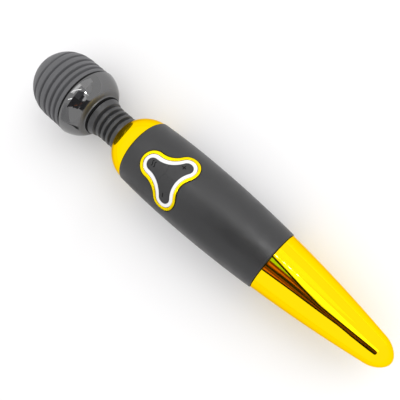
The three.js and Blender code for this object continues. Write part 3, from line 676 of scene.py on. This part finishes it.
def bellows():
    """The neck's rubber bellows, in two halves that meet in the bottom of a groove."""
    foot_rear, lip_front, lip_radius = -67.1, -69.5, 16.0
    lower = [
        (foot_rear, NECK_BORE), (foot_rear, lip_radius), (lip_front, lip_radius),
        (lip_front, NECK_RADIUS - 0.2), *bellows_outline(lip_front - 1, NECK_SPLIT, 150),
        *[(x, NECK_BORE) for x in spread(NECK_SPLIT, foot_rear - 0.5, 24)],
    ]
    end, plug_length, rim = BASE_SPIGOT_END + GAP, 3.8, 0.6
    plug = BASE_SPIGOT_RADIUS - BASE_WALL - GAP
    upper = [
        *[(x, NECK_BORE) for x in spread(end - plug_length, NECK_SPLIT, 16)],
        *bellows_outline(NECK_SPLIT, end + rim, 80),
        *rounded([(end + rim, neck_crest(end), 0), (end, neck_crest(end) - 0.1, 0.5),
                  (end, plug, 0), (end - plug_length, plug, 0)])[1:],
    ]
    halves = (("near_handle", lower, "lower"), ("near_head", upper, "upper"))
    for name, profile, side in halves:
        piece = turned(f"bellows_{name}", profile, FINISHES["bellows_rubber"], segments=128)
        bend_with_neck(piece, f"bellows_{side}")


def bend_with_neck(piece, node):
    """Bakes a neck piece's placement into its mesh and hides the CAD node on that side of the
    split; the piece is not attached to the joint.
    """
    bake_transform(piece)
    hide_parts(node)


def swept(name, path, section, guide, material):
    """A closed section of (across, up) points carried along a path about the wand's axis.

    Fault: the points are already scaled and lifted here, and mesh_of does both again, so these
    pieces come out a thousand times too small, at the middle of the wand.
    """
    points = []
    for i, p in enumerate(path):
        ahead, behind = path[min(i + 1, len(path) - 1)], path[max(i - 1, 0)]
        along = (Vector(ahead) - Vector(behind)).normalized()
        across = along.cross(Vector(guide)).normalized()
        up = across.cross(along)
        for a, b in section:
            x, y, z = Vector(p) + across * a + up * b
            points.append((x * MM, y * MM, (z + AXIS_Z) * MM))
    faces = skin(len(path), len(section)) + caps(len(path), len(section))
    return add_object(name, mesh_of(name, points, faces), material)


def neck_springs():
    """The two coil springs of the neck. They come out too small; see swept."""
    circle = spread(0, 2 * math.pi, 12)[:-1]
    wire = [(SPRING_WIRE * math.cos(t), SPRING_WIRE * math.sin(t)) for t in circle]
    for side, start, end, turns in (("lower", -78.1, -86.7, 3), ("upper", -91.3, -96.8, 2)):
        path = []
        for t in spread(0, 1, 40 * turns):
            angle = 2 * math.pi * turns * t
            y, z = SPRING_RADIUS * math.cos(angle), SPRING_RADIUS * math.sin(angle)
            path.append((start + (end - start) * t, y, z))
        coil = swept(f"coil_spring_{side}", path, wire, (1, 0, 0), FINISHES["steel"])
        bend_with_neck(coil, f"neck_spring_{side}")


def smooth_path(route, steps=12):
    """A smooth curve through the points of a route, with that many steps between two points."""
    path = []
    for k in range(len(route) - 1):
        before, a, b = Vector(route[max(k - 1, 0)]), Vector(route[k]), Vector(route[k + 1])
        after = Vector(route[min(k + 2, len(route) - 1)])
        leaving, arriving = (b - before) / 2, (after - a) / 2
        for t in spread(0, 1, steps)[(1 if k else 0):]:
            ends = a * (2 * t**3 - 3 * t * t + 1) + b * (3 * t * t - 2 * t**3)
            slopes = leaving * (t**3 - 2 * t * t + t) + arriving * (t**3 - t * t)
            path.append(tuple(ends + slopes))
    return path


def cable_jacket():
    """The flat section of the motor's cable, with round corners."""
    jacket = []
    for quarter, (sx, sy) in enumerate(((1, 1), (-1, 1), (-1, -1), (1, -1))):
        for t in spread(0, math.pi / 2, 3):
            angle = t + quarter * math.pi / 2
            across = sx * (CABLE_HALF_WIDTH - CABLE_CORNER) + CABLE_CORNER * math.cos(angle)
            up = sy * (CABLE_HALF_HEIGHT - CABLE_CORNER) + CABLE_CORNER * math.sin(angle)
            jacket.append((across, up))
    return jacket


def motor_cables():
    """The motor's flat cable in its two runs. They come out too small; see swept."""
    routes = {
        "lower": [(2, -8, 9.5), (-6, -8, 9.2), (-24, -5, 5), (-50, 0, 0.5), (-70, 0, 0),
                  (-88.7, 0, 0)],
        "upper": [(-89.3, 0, 0), (-98, 0, 0), (-103, 0, 3), (-107.4, 0, 6)],
    }
    for side, route in routes.items():
        name, path = f"motor_cable_{side}_run", smooth_path(route)
        cable = swept(name, path, cable_jacket(), (0, 0, 1), FINISHES["lead_red"])
        bend_with_neck(cable, f"motor_cable_{side}")


# ---------------------------------------------------------------- handle


def front_collar():
    """Gold collar: an oval dome that closes in on the neck and turns into its bore."""
    front, rear, soft_edge = COLLAR_FRONT, COLLAR_REAR, 0.25
    mouth, mouth_depth, turn_in, bore_start = NECK_RADIUS + 0.5, 2.5, 0.9, 4.8
    dome = [(x, collar_radius(x)) for x in spread(rear - soft_edge, front + turn_in, 90)]
    inside = [(x, collar_radius(x) - COLLAR_WALL) for x in spread(front + bore_start, rear, 30)]
    profile = [
        (rear, collar_radius(rear) - soft_edge), *dome,
        *rounded([(*dome[-1], 0), (front, collar_radius(front) + 0.1, 0.5),
                  (front + 0.1, mouth, 0.25), (front + mouth_depth, mouth, 0)])[1:],
        *inside,
    ]
    piece = turned("gold_front_collar", profile, FINISHES["gold"], segments=256)
    place(piece, "handle", "gold", "front_collar")


def cut_away(piece, tool):
    """Subtracts tool from piece and removes it."""
    modifier = piece.modifiers.new("cut", "BOOLEAN")
    modifier.operation = "DIFFERENCE"
    modifier.solver = "EXACT"
    modifier.object = tool
    bpy.context.view_layer.update()
    evaluated = piece.evaluated_get(bpy.context.evaluated_depsgraph_get())
    mesh = bpy.data.meshes.new_from_object(evaluated)
    piece.modifiers.remove(modifier)
    old = piece.data
    piece.data = mesh
    mesh.name = old.name
    bpy.data.meshes.remove(old)
    bpy.data.objects.remove(tool)
    mesh.shade_smooth()
    mesh.set_sharp_from_angle(angle=math.radians(35))


def grip_sleeve():
    """Soft sleeve with the trefoil window, its edges softened towards gold at both ends."""
    front, rear, middle = SLEEVE_FRONT, SLEEVE_REAR, ROUND_MIDDLE
    front_radius, rear_radius = barrel_radius(front), barrel_radius(rear)
    outside = [(x, barrel_radius(x)) for x in spread(front + ROUND_OVER, rear - ROUND_OVER, 110)]
    inside = [(x, barrel_radius(x) - SLEEVE_WALL) for x in spread(rear, front, 40)]
    front_edge = [(front, front_radius - ROUND_OVER), (front + middle, front_radius - middle)]
    rear_edge = [(rear - middle, rear_radius - middle), (rear, rear_radius - ROUND_OVER)]
    profile = [*front_edge, *outside, *rear_edge, *inside]
    piece = turned("soft_grip_sleeve", profile, FINISHES["silicone"], segments=224)
    below, above = -3.5, 2.5
    window = plate_loops(trefoil(BEZEL_OFFSET + WINDOW_GAP), PAD_CENTRE, below, above, rings=16)
    cut_away(piece, skinned("window_tool", window, FINISHES["silicone"]))
    place(piece, "handle", "silicone", "grip_sleeve")


def port_frame():
    """The charging port's own frame on the tail's underside: its -Z points outwards."""
    low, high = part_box("charge_port")
    x = (low.x + high.x) / 2 / MM
    slope = tail_radius(x + 0.5) - tail_radius(x - 0.5)
    turn = Matrix.Rotation(math.atan(slope), 4, "Y")
    return Matrix.Translation((x * MM, 0, (AXIS_Z - tail_radius(x)) * MM)) @ turn


def stadium(length, width, steps=24):
    """A long hole's outline: two half rounds joined by straights."""
    r, straight = width / 2, (length - width) / 2
    points = []
    for side in (1, -1):
        for t in spread(-math.pi / 2, math.pi / 2, steps):
            points.append((side * (straight + r * math.cos(t)), side * r * math.sin(t)))
    return points


def port_piece(name, loops, material):
    """A closed skin over (x, y, z) loops in the port's frame, capped at both ends."""
    rows, count = len(loops), len(loops[0])
    points = [tuple(c * MM for c in p) for loop in loops for p in loop]
    faces = caps(rows, count) + skin(rows, count)
    mesh = bpy.data.meshes.new(name)
    mesh.from_pydata(points, [], faces)
    mesh.transform(port_frame())
    return add_object(name, mesh, material)


def tail_cap():
    """Gold tail: a long taper with a round tip, a softened front edge and a port opening."""
    front, soft_edge, tip_wall, tip_round = TAIL_FRONT, 0.3, 2.4, 2.6
    tip = [TAIL_ROUND + (TAIL_TIP - TAIL_ROUND) * math.sin(t) for t in spread(0, math.pi / 2, 48)]
    long = spread(front + soft_edge, TAIL_ROUND, 120)[:-1]
    outside = [(x, tail_radius(x)) for x in [*long, *tip]]
    outside[-1] = (TAIL_TIP, 0.0)
    inside = [(x, tail_radius(x) - TAIL_WALL) for x in spread(front, TAIL_ROUND, 30)]
    inner_tip = TAIL_TIP - tip_wall
    shoulder = inner_tip - tip_round
    profile = [
        *reversed(outside), (front, tail_radius(front) - soft_edge), *inside,
        (shoulder, tail_radius(shoulder) - 2.2), (inner_tip, 0.0),
    ]
    piece = turned("gold_tail_cap", profile, FINISHES["gold"], segments=256)
    outline = stadium(PORT_LENGTH + 2 * GAP, PORT_WIDTH + 2 * GAP)
    outer, inner = -4, 8
    loops = [[(x, y, z) for x, y in outline] for z in (outer, inner)]
    cut_away(piece, port_piece("port_tool", loops, FINISHES["gold"]))
    place(piece, "handle", "gold", "tail_cap")


def charge_port():
    """Black stadium plug with two domed contacts, sunk into the tail's underside."""
    face, back = 0.5, 3.6
    loops = []
    for grow, z in ((-2.2, back), (0, back), (0, face + 0.25), (-0.15, face + 0.07), (-0.5, face),
                    (-1.2, face), (-1.35, face + 0.15), (-2.4, face + 0.15)):
        loops.append([(x, y, z) for x, y in stadium(PORT_LENGTH + grow, PORT_WIDTH + grow)])
    piece = port_piece("magnetic_charge_port", loops, FINISHES["seal_black"])
    place(piece, "handle", "seal_black", "charge_port")
    ring = [2 * math.pi * k / 40 for k in range(40)]
    for end, centre in (("front", -CONTACT_ASIDE), ("rear", CONTACT_ASIDE)):
        loops = []
        for radius, z in ((1.25, 3.9), (1.25, 0.45), (1.15, 0.34), (0.8, 0.26), (0.2, 0.22)):
            loops.append([(centre + radius * math.cos(t), radius * math.sin(t), z) for t in ring])
        node = f"charge_contact_{end}"
        contact = port_piece(f"domed_{node}", loops, FINISHES["brass"])
        place(contact, "handle", "brass", node)


# ---------------------------------------------------------------- key pad


def pad_rings():
    """Gold bezel with a round crown, and the milky light ring inside it."""
    low, high, top, bottom, fillet = LIGHT_OFFSET + GAP, BEZEL_OFFSET, 0.35, -1.5, 0.22
    quarter = spread(0, math.pi / 2, 5)
    section = [(high - fillet + fillet * math.cos(t), top - fillet + fillet * math.sin(t))
               for t in quarter]
    section += [(low + fillet - fillet * math.sin(t), top - fillet + fillet * math.cos(t))
                for t in quarter]
    section += [(low, bottom), (high, bottom)]
    bezel = ring_piece("gold_pad_bezel", section, FINISHES["bezel_gold"])
    place(bezel, "handle", "gold", "pad_bezel")
    middle, half = (LIGHT_OFFSET + LIGHT_INNER) / 2, (LIGHT_OFFSET - LIGHT_INNER) / 2
    edge, rise, roundness, bottom = -0.2, 0.4, 0.6, -3.6
    section = [(middle + half * math.cos(t), edge + rise * math.sin(t) ** roundness)
               for t in spread(0, math.pi, 14)]
    section += [(LIGHT_INNER, bottom), (LIGHT_OFFSET, bottom)]
    diffuser = ring_piece("milky_light_ring", section, FINISHES["light_white"])
    place(diffuser, "handle", "light_white", "light_ring")


def key_outline(i):
    """One lobe of the trefoil, closed along its two seams to just short of the pad's centre."""
    outline = trefoil(KEY_OFFSET, LOBE_STEPS)
    part = len(outline) // 3
    start = (i - 1) % 3 * part + LOBE_STEPS * 3 // 2
    lobe = [outline[(start + k) % len(outline)] for k in range(part + 1)]
    first, last, heart = Vector(lobe[0]), Vector(lobe[-1]), Vector(PAD_CENTRE)

    def into_key(end, other):
        """The direction square to the seam at that end, towards the other seam."""
        along = (end - heart).normalized()
        across = Vector((-along.y, along.x))
        return -across if across.dot(other - end) < 0 else across

    inward = ((first - heart).normalized() + (last - heart).normalized()).normalized()
    corner = heart + inward * KEY_SEAM * 1.4
    shifts = into_key(first, last) * KEY_SEAM, into_key(last, first) * KEY_SEAM
    first, last = first + shifts[0], last + shifts[1]
    path = [tuple(last.lerp(corner, t)) for t in spread(0, 1, 16)[1:]]
    path += [tuple(corner.lerp(first, t)) for t in spread(0, 1, 16)[1:-1]]
    return [tuple(first), *lobe[1:-1], tuple(last), *path]


def stroke(points, half):
    """The left and right edges of a ribbon of that half width along (x, a) points."""
    left, right = [], []
    for i, p in enumerate(points):
        ahead = Vector(points[min(i + 1, len(points) - 1)])
        behind = Vector(points[max(i - 1, 0)])
        along = (ahead - behind).normalized()
        across = Vector((-along.y, along.x)) * half
        left.append(tuple(Vector(p) + across))
        right.append(tuple(Vector(p) - across))
    return left, right


def mark(name, strokes, key, half=0.32):
    """Inked strokes just proud of a key's face."""
    bottom, top = -0.05, 0.115
    points, faces = [], []
    for path in strokes:
        left, right = stroke(path, half)
        first = len(points)
        for height in (bottom, top):
            points += [bend(x, a, height) for x, a in left]
            points += [bend(x, a, height) for x, a in right]
        n = len(path)
        low_l, low_r, top_l, top_r = first, first + n, first + 2 * n, first + 3 * n
        for i in range(n - 1):
            faces.append((top_l + i, top_l + i + 1, top_r + i + 1, top_r + i))
            faces.append((low_l + i, low_r + i, low_r + i + 1, low_l + i + 1))
            faces.append((low_l + i, low_l + i + 1, top_l + i + 1, top_l + i))
            faces.append((low_r + i, top_r + i, top_r + i + 1, low_r + i + 1))
        for i in (0, n - 1):
            faces.append((low_l + i, top_l + i, top_r + i, low_r + i))
    piece = add_object(name, mesh_of(name, points, faces), MARK, sharp=30)
    place(piece, key, "key_grey")


def line(start, end, steps=8):
    """Points along a straight stroke."""
    return [tuple(Vector(start).lerp(Vector(end), t)) for t in spread(0, 1, steps)]


def keys():
    """Three keys with softly rounded edges."""
    inset = 0.2
    for i, name in enumerate(("key_plus", "key_mode", "key_minus")):
        (x, a), _ = LOBES[i]
        centre = (x + (PAD_CENTRE[0] - x) * inset, a + (PAD_CENTRE[1] - a) * inset)
        loops = plate_loops(key_outline(i), centre, KEY_DEPTH, KEY_FACE, edge=0.1)
        piece = skinned(f"{name}_cap", loops, FINISHES["key_grey"])
        place(piece, name, "key_grey", name)


def key_marks():
    """A plus, a minus and two waves, one mark on each key."""
    (plus_x, plus_a), (mode_x, mode_a), (minus_x, minus_a) = (at for at, _ in LOBES)
    shift_x, shift_a, arm, clear = 1.9, 1.1, 1.6, 0.3
    x, a = plus_x - shift_x, plus_a - shift_a
    mark("plus_mark", [line((x - arm, a), (x - clear, a)), line((x + clear, a), (x + arm, a)),
                       line((x, a - arm), (x, a + arm))], "key_plus")
    x, a, slant, reach = minus_x - shift_x, minus_a + shift_a, 0.6, 1.5
    mark("minus_mark", [line((x - slant, a + reach), (x + slant, a - reach))], "key_minus")
    x, a, swing, length = mode_x + 0.4, mode_a + 0.8, 0.55, 4.2
    waves = []
    for shift in (-1.0, 1.0):
        waves.append([(x + shift + swing * math.sin(t * 2 * math.pi), a + (t - 0.5) * length)
                      for t in spread(0, 1, 24)])
    mark("mode_mark", waves, "key_mode", half=0.3)


# ---------------------------------------------------------------- stage, light and camera


def floor():
    """A plain pale floor under the wand."""
    half = 3.0
    mesh = bpy.data.meshes.new("floor")
    mesh.from_pydata([(-half, -half, 0), (half, -half, 0), (half, half, 0), (-half, half, 0)], [],
                     [(0, 1, 2, 3)])
    obj = bpy.data.objects.new("floor", mesh)
    bpy.context.scene.collection.objects.link(obj)
    obj.data.materials.append(Finish("pale_floor", (0.83, 0.825, 0.83), 0.9).material)


def key_light():
    """One broad soft light from the far side; it does not show in reflections."""
    light = bpy.data.lights.new("key_light", "AREA")
    light.shape = "RECTANGLE"
    light.size, light.size_y = 1.2, 1.2
    light.energy = 8.5
    obj = bpy.data.objects.new("key_light", light)
    obj.location = (0.4, 1.05, 1.0)
    obj.rotation_euler = (-obj.location).to_track_quat("-Z", "Y").to_euler()
    obj.visible_glossy = False
    bpy.context.scene.collection.objects.link(obj)


def surroundings():
    """Even white light from all round."""
    world = bpy.data.worlds.new("studio")
    world.use_nodes = True
    background = world.node_tree.nodes["Background"]
    background.inputs["Color"].default_value = (1, 1, 1, 1)
    background.inputs["Strength"].default_value = 1.12
    bpy.context.scene.world = world


def card(name, level, outline, material, normal="z"):
    """A sheet that shows only in glossy reflections, square to the x, y or z axis at that level,
    its outline given in the other two axes."""
    mesh = bpy.data.meshes.new(name)
    place_at = {"x": lambda p, q: (level, p, q), "y": lambda p, q: (p, level, q),
                "z": lambda p, q: (p, q, level)}[normal]
    points = [place_at(p, q) for p, q in outline]
    mesh.from_pydata([tuple(c * MM for c in point) for point in points], [],
                     [tuple(range(len(outline)))])
    mesh.materials.append(material)
    obj = bpy.data.objects.new(name, mesh)
    bpy.context.scene.collection.objects.link(obj)
    obj.visible_camera = False
    obj.visible_diffuse = False
    obj.visible_shadow = False
    obj.visible_transmission = False


def cloth(name, color, scale, amount, stretch=(1, 1, 1)):
    """A dull cloth with streaks or patches that many to the metre."""
    return Finish(f"{name}_cloth", color, 0.9).vary_color(scale, amount, stretch).material


def cloths():
    """Dark and coloured sheets round the wand, which the gold and the gloss reflect."""
    material = {
        "brown": cloth("brown", (0.15, 0.036, 0.004), 9, 0.97, (0.5, 4.0, 1)),
        "black": cloth("black", (0.004, 0.004, 0.004), 20, 0.5),
        "orange": cloth("orange", (0.5, 0.13, 0.0), 40, 0.6, (0.6, 3.0, 1)),
        "green": cloth("green", (0.4, 0.85, 0.02), 30, 0.3, (1, 4, 1)),
        "dim": cloth("dim", (0.16, 0.16, 0.165), 14, 0.4),
        "grey": cloth("grey", (0.6, 0.6, 0.61), 6, 0.1),
    }
    near = [(95, 150), (130, 105), (165, 50), (215, -18), (270, -8), (345, 20), (374, -20),
            (382, -80)]
    far = [(380, -130), (366, -175), (352, -190), (310, -184), (270, -165), (215, -208),
           (165, -237), (130, -267), (95, -300)]
    card("dark_over_tail", 404, [*near, *far], material["brown"])
    for name, edge, inset in (("near", near[:-2], -46), ("far", far[2:], 56)):
        inner = [(x, y + inset) for x, y in reversed(edge)]
        card(f"dark_rim_{name}", 401, [*edge, *inner], material["black"])
    over = [
        ("dark_fold", 401, "black", [(95, -85), (140, -62), (230, -86), (262, -100), (220, -118),
                                     (150, -108), (95, -128)]),
        ("green_patch", 403, "green", [(95, 104), (95, 28), (150, 36), (176, 14), (140, 62)]),
        ("dark_tip", 401, "black", [(300, -184), (345, -190), (366, -175), (381, -110),
                                    (374, -60), (345, -92), (300, -128)]),
        ("orange_near", 402.5, "orange", [(95, -16), (95, -66), (150, -46), (190, -40),
                                          (140, -12)]),
        ("orange_far", 402.5, "orange", [(95, -188), (95, -250), (140, -222), (195, -172),
                                         (140, -176)]),
        ("dark_over_neck", 402, "black", [(-50, -30), (95, -30), (95, -262), (66, -250),
                                          (-30, -300), (-56, -345), (-68, -345)]),
        ("dim_over_neck", 402, "dim", [(-48, 106), (60, 170), (95, 180), (95, -30), (-50, -30)]),
        ("dark_over_keys", 200, "black", [(-24, -62), (-24, 44), (20, 54), (26, -62)]),
        ("dark_over_side", 200, "black", [(-30, -95), (78, -75), (78, -126), (40, -122),
                                          (-30, -108)]),
        ("dark_slit", 0.6, "black", [(-80, -60), (-62, -60), (-36, -150), (-30, -230),
                                     (-48, -420), (-74, -420), (-54, -230), (-58, -150)]),
    ]
    for name, level, kind, outline in over:
        card(name, level, outline, material[kind])
    side = [(-230, 0), (70, 0), (70, 900), (-230, 900)]
    card("grey_side", -600, side, material["grey"], "y")
    doorway = [(-250, 95), (-200, 95), (-100, 170), (20, 170), (90, 95), (128, 95), (128, 610),
               (-430, 610), (-363, 441)]
    card("dark_doorway", 650, doorway, material["black"], "x")


def lamps():
    """Bright strips and pale screens whose reflections glint in the gloss."""
    strengths = {"dash": 700.0, "bar": 9.0, "glow": 0.9, "bright": 2.0, "side": 0.4, "screen": 0.12}
    lamp = {name: Finish(f"lamp_{name}", (1, 1, 1), 0.5, **glow(strength)).material
            for name, strength in strengths.items()}
    for i, (start, end) in enumerate(((99, 104), (118, 122), (131, 138), (152, 157))):
        outline = [(start, 190), (end, 190), (end, 200), (start, 200)]
        card(f"lamp_dash_{i}", 396, outline, lamp["dash"])
    over = [
        ("lamp_bar_high", 396, "bar", [(-190, -14), (-186, 4), (-25, 176), (-25, 158)]),
        ("lamp_bar_low", 396, "bar", [(-130, -158), (-130, -140), (-58, -76), (-58, -94)]),
        ("lamp_arc_near", 198, "bar", [(2, 81), (2, 84), (32, 91), (32, 88)]),
        ("lamp_arc_far", 198, "bar", [(42, 90), (42, 93), (76, 102), (76, 99)]),
        ("pale_screen", 398, "screen", [(60, 240), (60, 620), (190, 560), (330, 330),
                                        (250, 230)]),
        ("pale_glow", 398, "glow", [(120, 215), (290, 130), (390, 90), (390, 40), (345, 36),
                                    (280, 8), (226, 10), (170, 62), (120, 140)]),
        ("pale_over_sleeve", 399, "bright", [(-190, -14), (-92, 4), (-92, 300), (-190, 300)]),
        ("pale_side", 398, "side", [(-200, 240), (50, 240), (50, 900), (-200, 900)]),
    ]
    for name, level, kind, outline in over:
        card(name, level, outline, lamp[kind])
    baffle = Finish("lamp_baffle", (0, 0, 0), 0.5, **glow(1.1), Specular_IOR_Level=0.0).material
    card("pale_baffle", 176, [(-40, 24), (40, 24), (40, 74), (-40, 74)], baffle, "x")


CAMERA = {
    "axis_point": 1.05, "aside": -0.28, "distance": 380.3, "lens": 48.6, "tilt": 15.2,
    "roll_about_axis": 5.9, "slant": 40.61,
}


def camera():
    """Looks down on the key pad from a little to the tail's side, the wand set on the diagonal."""
    tilt, lean, slant = (math.radians(CAMERA[k]) for k in ("tilt", "roll_about_axis", "slant"))
    along = Vector((1, 0, 0))
    outward = Vector((0, math.sin(lean), math.cos(lean)))
    forward = -(along * math.sin(tilt) + outward * math.cos(tilt))
    across = (along - forward * along.dot(forward)).normalized()
    upward = across.cross(forward)
    if upward.y < 0:
        upward = -upward
    right = across * math.cos(slant) + upward * math.sin(slant)
    up = -across * math.sin(slant) + upward * math.cos(slant)
    target = Vector((CAMERA["axis_point"] * MM, 0, AXIS_Z * MM)) + upward * CAMERA["aside"] * MM
    rotation = Matrix((right, up, -forward)).transposed().to_4x4()
    data = bpy.data.cameras.new("camera")
    data.sensor_width = 36.0
    data.lens = CAMERA["lens"]
    obj = bpy.data.objects.new("camera", data)
    obj.matrix_world = Matrix.Translation(target - forward * CAMERA["distance"] * MM) @ rotation
    bpy.context.scene.collection.objects.link(obj)
    bpy.context.scene.camera = obj


MARK = mark_ink()
paint_carried_nodes()
head_cap()
head_base()
seam_shade_rings()
bellows()
neck_springs()
motor_cables()
front_collar()
grip_sleeve()
tail_cap()
charge_port()
pad_rings()
keys()
key_marks()
floor()
surroundings()
key_light()
cloths()
lamps()
camera()
bpy.context.scene.view_settings.view_transform = "Standard"
